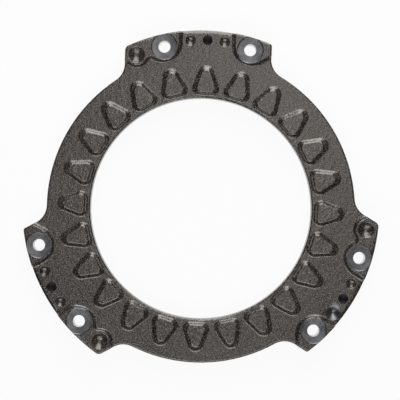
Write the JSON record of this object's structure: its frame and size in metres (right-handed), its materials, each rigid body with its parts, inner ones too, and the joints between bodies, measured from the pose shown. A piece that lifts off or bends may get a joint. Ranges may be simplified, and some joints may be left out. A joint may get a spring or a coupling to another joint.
{
  "type": "clutch pressure plate",
  "caption": "Bare cast ring of a clutch pressure plate with three lugs, strap holes, raised pads and a flat friction face.",
  "frame": {"origin": "on the axis of the bore, in the plane of the friction face", "axes": "+Z along the axis of the bore, away from the friction face towards the cast side; +Y along the middle of one lug, through its blind gauge hole"},
  "size_m": [0.2639, 0.248, 0.017],
  "materials": {
    "cast_iron": "satin"
  },
  "bodies": {
    "root": {"pressure_plate": "cast_iron"}
  },
  "joints": []
}
